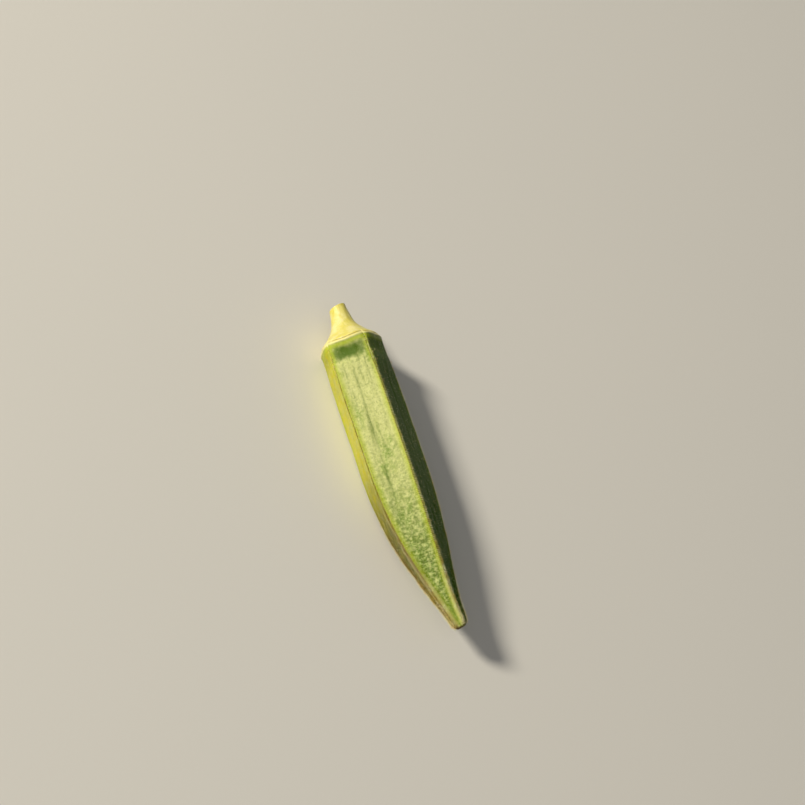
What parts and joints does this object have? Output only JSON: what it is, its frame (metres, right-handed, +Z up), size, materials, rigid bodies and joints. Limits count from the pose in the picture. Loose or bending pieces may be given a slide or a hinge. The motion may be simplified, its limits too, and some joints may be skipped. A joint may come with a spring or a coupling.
{
  "type": "okra pod",
  "caption": "Fresh five-sided okra pod with a short cut stem, ridged sides and a tapering, slightly bent tip, lying on one flat.",
  "frame": {"origin": "on the surface that the pod rests on, below the middle of its bounding box", "axes": "+X along the pod from the cut stem to the tip, +Z up, away from the surface, +Y to the side that the tip bends towards"},
  "size_m": [0.1062, 0.0196, 0.019],
  "materials": {
    "okra_skin": "velvety matt green skin"
  },
  "bodies": {
    "root": {"okra_pod": "okra_skin"}
  },
  "joints": []
}
